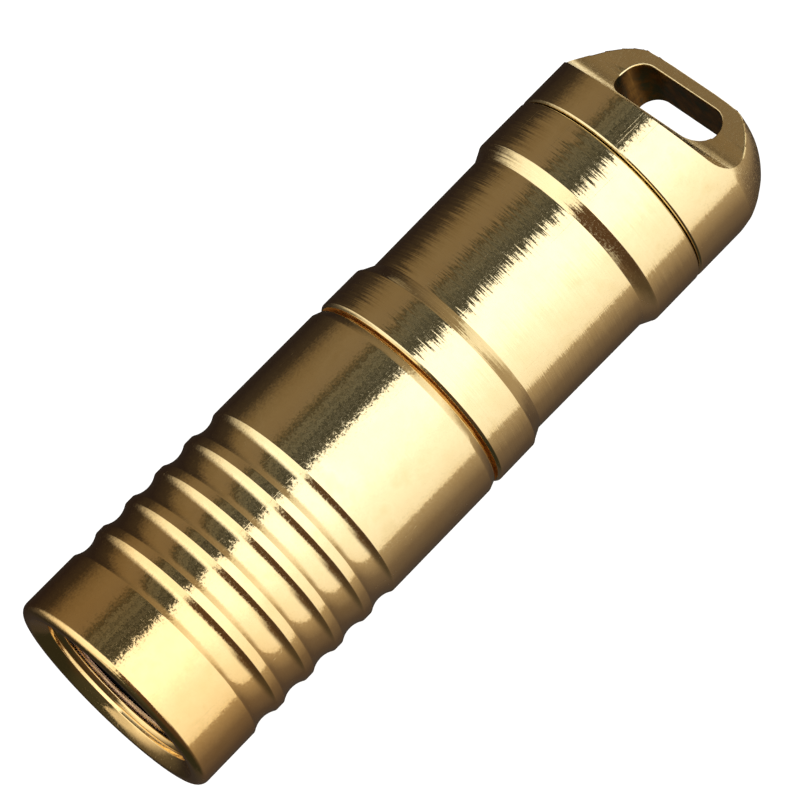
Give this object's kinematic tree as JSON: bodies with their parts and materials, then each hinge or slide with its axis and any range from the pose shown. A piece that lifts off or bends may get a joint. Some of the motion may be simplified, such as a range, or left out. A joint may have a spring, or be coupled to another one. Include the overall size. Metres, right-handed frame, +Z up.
{
  "type": "keychain flashlight",
  "caption": "Slim brass keychain flashlight with a grooved twist head, a plain tube and a flat key-ring loop with a slot at the tail.",
  "frame": {"origin": "on the surface the light lies on, under the middle of its length", "axes": "+X runs along the barrel from the lens to the key-ring loop, and +Z is up, square to the loop's two flats"},
  "size_m": [0.0482, 0.014, 0.014],
  "materials": {
    "brass": "polished, with fine lathe rings",
    "brass_inner": "as turned",
    "gold_plate": "gold plated",
    "spring_bronze": "drawn wire",
    "rubber": "greased",
    "foam": "open foam",
    "lens_glass": "coated, clear",
    "led_silicone": "clear silicone",
    "led_phosphor": "phosphor on white ceramic",
    "reflector_aluminium": "mirror",
    "board_aluminium": "white solder mask",
    "white_plastic": "moulded",
    "circuit_board": "solder mask",
    "chip_black": "moulded",
    "capacitor_ceramic": "fired",
    "wire_red": "insulated",
    "wire_black": "insulated",
    "cell_steel": "nickel plated",
    "cell_wrap": "shrink sleeve"
  },
  "bodies": {
    "body": {"body_tube": "brass", "head_o_ring": "rubber", "cell_positive_cap": "cell_steel", "cell_insulator": "white_plastic", "cell_can": "cell_steel", "cell_wrap": "cell_wrap"},
    "optic": {"lens": "lens_glass", "lens_o_ring": "rubber", "reflector": "reflector_aluminium"},
    "head": {"head_shell": "brass", "led_dome": "led_silicone", "led_package": "led_phosphor", "led_gasket": "white_plastic", "led_board": "board_aluminium", "led_wire_positive": "wire_red", "led_wire_negative": "wire_black", "pill": "brass_inner", "driver_board": "circuit_board", "driver_chip": "chip_black", "driver_capacitor": "capacitor_ceramic", "driver_contact": "gold_plate", "driver_retaining_ring": "brass_inner", "foam_ring": "foam"},
    "cap_seal": {"tail_o_ring": "rubber", "spring_plate": "gold_plate"},
    "cap": {"tail_cap": "brass", "tail_spring": "spring_bronze"}
  },
  "joints": [
    {"name": "head_travel", "type": "slide", "parent": "body", "child": "optic", "axis": [1, 0, 0], "range_m": [-0.003, 0.00022]},
    {"name": "head_twist", "type": "hinge", "parent": "optic", "child": "head", "pos_m": [0, 0, 0.007], "axis": [1, 0, 0], "range_deg": [-1441, 106]},
    {"name": "cap_travel", "type": "slide", "parent": "body", "child": "cap_seal", "axis": [1, 0, 0], "range_m": [0, 0.00225]},
    {"name": "cap_twist", "type": "hinge", "parent": "cap_seal", "child": "cap", "pos_m": [0, 0, 0.007], "axis": [1, 0, 0], "range_deg": [-1, 1081]}
  ],
  "couplings": [
    {"joint": "head_twist", "follows": "head_travel", "rad_per_m": 8377.6},
    {"joint": "cap_twist", "follows": "cap_travel", "rad_per_m": 8377.6}
  ]
}
